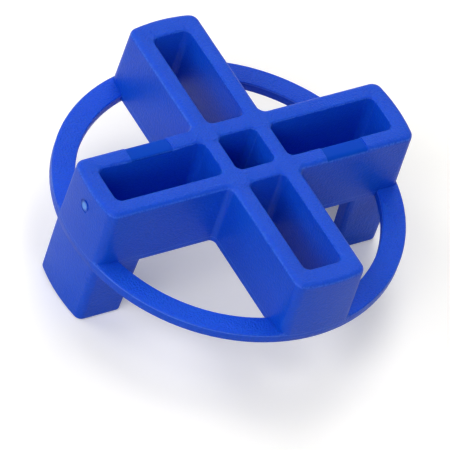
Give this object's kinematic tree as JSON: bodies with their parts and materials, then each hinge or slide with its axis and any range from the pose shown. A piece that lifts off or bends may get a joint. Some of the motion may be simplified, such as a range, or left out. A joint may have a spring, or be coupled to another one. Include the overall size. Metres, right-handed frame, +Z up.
{
  "type": "tile spacer",
  "caption": "Moulded plastic spacer for tile joints: a hollow cross on a thin round ring, with hollow feet below two opposite arms.",
  "frame": {"origin": "on the floor under the middle of the cross, level with the undersides of the feet", "axes": "+Z up through the cross; +X along the right arm, one of the two with a foot; +Y along the rear arm"},
  "size_m": [0.046, 0.046, 0.02],
  "materials": {
    "blue_plastic": "injection-moulded blue polypropylene, satin to glossy, slightly translucent"
  },
  "bodies": {
    "root": {"tile_spacer": "blue_plastic"}
  },
  "joints": []
}
